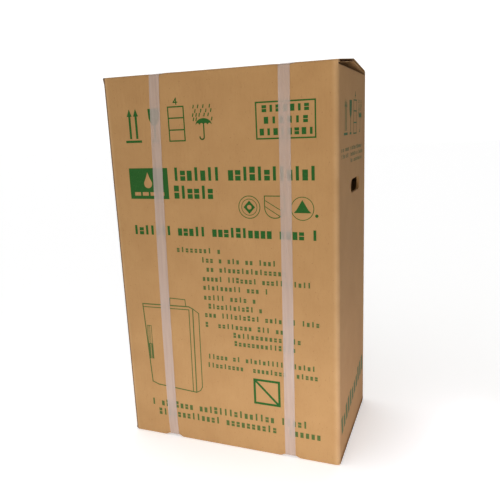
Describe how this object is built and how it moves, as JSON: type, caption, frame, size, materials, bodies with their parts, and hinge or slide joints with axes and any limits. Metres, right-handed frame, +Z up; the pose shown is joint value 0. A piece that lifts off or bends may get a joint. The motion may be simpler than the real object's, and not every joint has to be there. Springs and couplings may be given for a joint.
{
  "type": "boxed tankless water heater",
  "caption": "Strapped corrugated carton with hinged top flaps and hand holes, holding a compact tankless gas water heater between foam caps.",
  "frame": {"origin": "centre of the bottom face of the carton, which stands on the floor", "axes": "+Z up, the printed front panel faces -Y, +X to its right"},
  "size_m": [0.427, 0.2642, 0.7135],
  "materials": {
    "kraft_board": "brown kraft corrugated board, matt",
    "strap_film": "translucent polypropylene strapping with fine lengthwise ribs",
    "bead_foam": "white expanded polystyrene bead foam",
    "white_enamel": "satin white powder coat on sheet steel",
    "zinc_steel": "zinc-coated sheet steel",
    "stainless_steel": "plain stainless sheet",
    "copper": null,
    "brass": "turned brass",
    "cast_aluminium": "cast and spun aluminium",
    "dark_plastic": "black moulded plastic",
    "silicone_rubber": "red-brown silicone rubber",
    "white_ceramic": "fired white insulator ceramic",
    "circuit_laminate": "green circuit board laminate"
  },
  "bodies": {
    "root": {"carton_sleeve": "kraft_board", "top_flap_left": "kraft_board", "top_flap_right": "kraft_board", "bottom_flap_front": "kraft_board", "bottom_flap_back": "kraft_board", "bottom_flap_left": "kraft_board", "bottom_flap_right": "kraft_board", "strap_left_wrap": "strap_film", "strap_right_wrap": "strap_film", "top_foam_cap": "bead_foam", "bottom_foam_cap": "bead_foam", "rear_case": "zinc_steel", "front_cover": "white_enamel", "cover_window_insert": "dark_plastic", "wall_bracket_top": "zinc_steel", "wall_bracket_bottom": "zinc_steel", "vent_collar": "cast_aluminium", "vent_gasket": "silicone_rubber", "flue_hood": "stainless_steel", "exchanger_jacket": "copper", "exchanger_fins": "copper", "return_bend_left": "copper", "return_bend_right": "copper", "combustion_chamber": "stainless_steel", "chamber_coil": "copper", "burner_box": "stainless_steel", "burner_bars": "stainless_steel", "gas_manifold": "cast_aluminium", "spark_electrode": "white_ceramic", "flame_rod": "white_ceramic", "igniter_box": "dark_plastic", "fan_housing": "zinc_steel", "fan_motor": "stainless_steel", "cold_inlet": "brass", "hot_outlet": "brass", "gas_inlet": "brass", "inlet_filter_plug": "brass", "drain_plug": "brass", "flow_sensor_body": "dark_plastic", "turbine_cage": "dark_plastic", "inlet_pipe": "copper", "outlet_pipe": "copper", "outlet_thermistor": "brass", "overheat_switch": "brass", "gas_valve": "cast_aluminium", "gas_solenoid_lower": "stainless_steel", "gas_solenoid_upper": "stainless_steel", "gas_pipe": "copper", "board_tray": "dark_plastic", "circuit_board": "circuit_laminate", "power_terminal": "dark_plastic"},
    "front_flap": {"top_flap_front": "kraft_board", "strap_left_front_tail": "strap_film", "strap_right_front_tail": "strap_film"},
    "back_flap": {"top_flap_back": "kraft_board", "strap_left_back_tail": "strap_film", "strap_right_back_tail": "strap_film"},
    "fan": {"fan_wheel": "dark_plastic", "fan_shaft": "stainless_steel"},
    "turbine": {"flow_turbine": "dark_plastic"}
  },
  "joints": [
    {"name": "front_flap_crease", "type": "hinge", "parent": "root", "child": "front_flap", "pos_m": [0, -0.131, 0.7], "axis": [1, 0, 0], "range_deg": [0, 205]},
    {"name": "back_flap_crease", "type": "hinge", "parent": "root", "child": "back_flap", "pos_m": [0, 0.131, 0.7], "axis": [-1, 0, 0], "range_deg": [0, 205]},
    {"name": "fan_spin", "type": "hinge", "parent": "root", "child": "fan", "pos_m": [0.025, 0.012, 0.165], "axis": [0, 1, 0], "continuous": true},
    {"name": "turbine_spin", "type": "hinge", "parent": "root", "child": "turbine", "pos_m": [-0.11, 0.012, 0.14], "axis": [0, 0, 1], "continuous": true}
  ]
}
